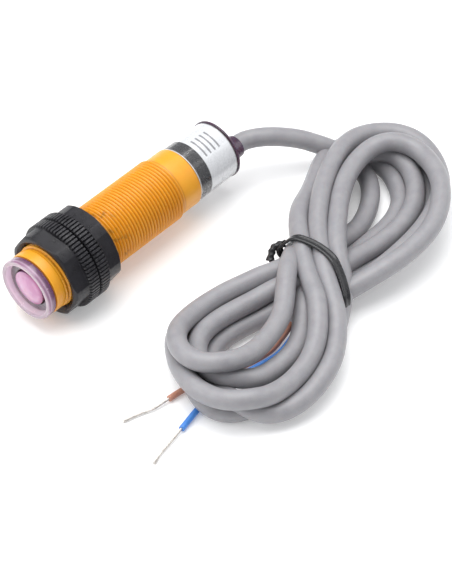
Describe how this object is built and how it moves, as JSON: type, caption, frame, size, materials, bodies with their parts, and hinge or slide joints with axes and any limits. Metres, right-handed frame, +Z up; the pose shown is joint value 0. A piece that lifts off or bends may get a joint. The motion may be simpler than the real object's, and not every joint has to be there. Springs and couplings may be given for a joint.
{
  "type": "photoelectric sensor",
  "caption": "Cylindrical threaded photoelectric emitter with a tinted lens cap, hexagon mounting nuts and a coiled, tied connection cable with stripped wire ends",
  "frame": {"origin": "on the surface the sensor lies on, under the middle of the sensor measured without its cable", "axes": "+X runs along the optical axis from the lens to the cable end, +Z is up, +Y completes the right-handed frame; the lens looks along -X"},
  "size_m": [0.1271, 0.0862, 0.0244],
  "materials": {
    "orange_housing": "satin moulded plastic",
    "mauve_lens_cap": "translucent, glossy",
    "pink_lens": "clear tinted plastic lens, polished",
    "black_insert": "matte",
    "emitter_epoxy": "clear smoky epoxy",
    "tinned_lead": "tinned wire",
    "circuit_board": "glass epoxy with solder mask",
    "chip_black": "moulded component body",
    "chip_ceramic": "fired ceramic",
    "capacitor_can": "drawn can",
    "indicator_epoxy": "coloured epoxy",
    "potting": "cast resin",
    "dark_purple_cap": "dark translucent plastic",
    "silver_label": "printed foil label",
    "clear_film": "clear film, overlapped",
    "grey_jacket": "satin PVC",
    "brown_insulation": "satin PVC",
    "blue_insulation": "satin PVC",
    "black_nut": "glass-filled nylon, satin",
    "black_nut_thread": "moulded thread, satin",
    "black_tie": "ribbed plastic over wire",
    "tinned_strands": "tinned copper strands"
  },
  "bodies": {
    "sensor": {"barrel": "orange_housing", "lens_cap": "mauve_lens_cap", "lens": "pink_lens", "shade_tube": "black_insert", "led_holder": "black_insert", "emitter_led": "emitter_epoxy", "emitter_lead_1": "tinned_lead", "emitter_lead_2": "tinned_lead", "main_board": "circuit_board", "resistor_1": "chip_black", "resistor_2": "chip_black", "resistor_3": "chip_black", "drive_transistor": "chip_black", "driver_ic": "chip_black", "chip_capacitor_1": "chip_ceramic", "chip_capacitor_2": "chip_ceramic", "polarity_diode": "chip_black", "storage_capacitor": "capacitor_can", "indicator_led": "indicator_epoxy", "indicator_lead_1": "tinned_lead", "indicator_lead_2": "tinned_lead", "potting_plug": "potting", "rear_cap": "dark_purple_cap", "type_label": "silver_label", "label_film": "clear_film", "cable_tail": "grey_jacket", "inner_core_brown": "brown_insulation", "inner_core_blue": "blue_insulation", "cable_run": "grey_jacket", "cable_hank": "grey_jacket", "tie_band": "black_tie", "tie_twist": "black_tie", "brown_core": "brown_insulation", "blue_core": "blue_insulation", "brown_strands": "tinned_strands", "blue_strands": "tinned_strands"},
    "front_nut_travel": {"front_nut_thread": "black_nut_thread"},
    "front_nut": {"front_nut": "black_nut"},
    "rear_nut_travel": {"rear_nut_thread": "black_nut_thread"},
    "rear_nut": {"rear_nut": "black_nut"}
  },
  "joints": [
    {"name": "front_nut_slide", "type": "slide", "parent": "sensor", "child": "front_nut_travel", "axis": [-1, 0, 0], "range_m": [0, 0.008]},
    {"name": "front_nut_turn", "type": "hinge", "parent": "front_nut_travel", "child": "front_nut", "pos_m": [-0.0268, 0, 0.0122], "axis": [-1, 0, 0], "range_deg": [0, 2900]},
    {"name": "rear_nut_slide", "type": "slide", "parent": "sensor", "child": "rear_nut_travel", "axis": [1, 0, 0], "range_m": [0, 0.027]},
    {"name": "rear_nut_turn", "type": "hinge", "parent": "rear_nut_travel", "child": "rear_nut", "pos_m": [-0.0184, 0, 0.0122], "axis": [1, 0, 0], "range_deg": [0, 9740]}
  ],
  "couplings": [
    {"joint": "front_nut_turn", "follows": "front_nut_slide", "rad_per_m": 6283.2},
    {"joint": "rear_nut_turn", "follows": "rear_nut_slide", "rad_per_m": 6283.2}
  ]
}
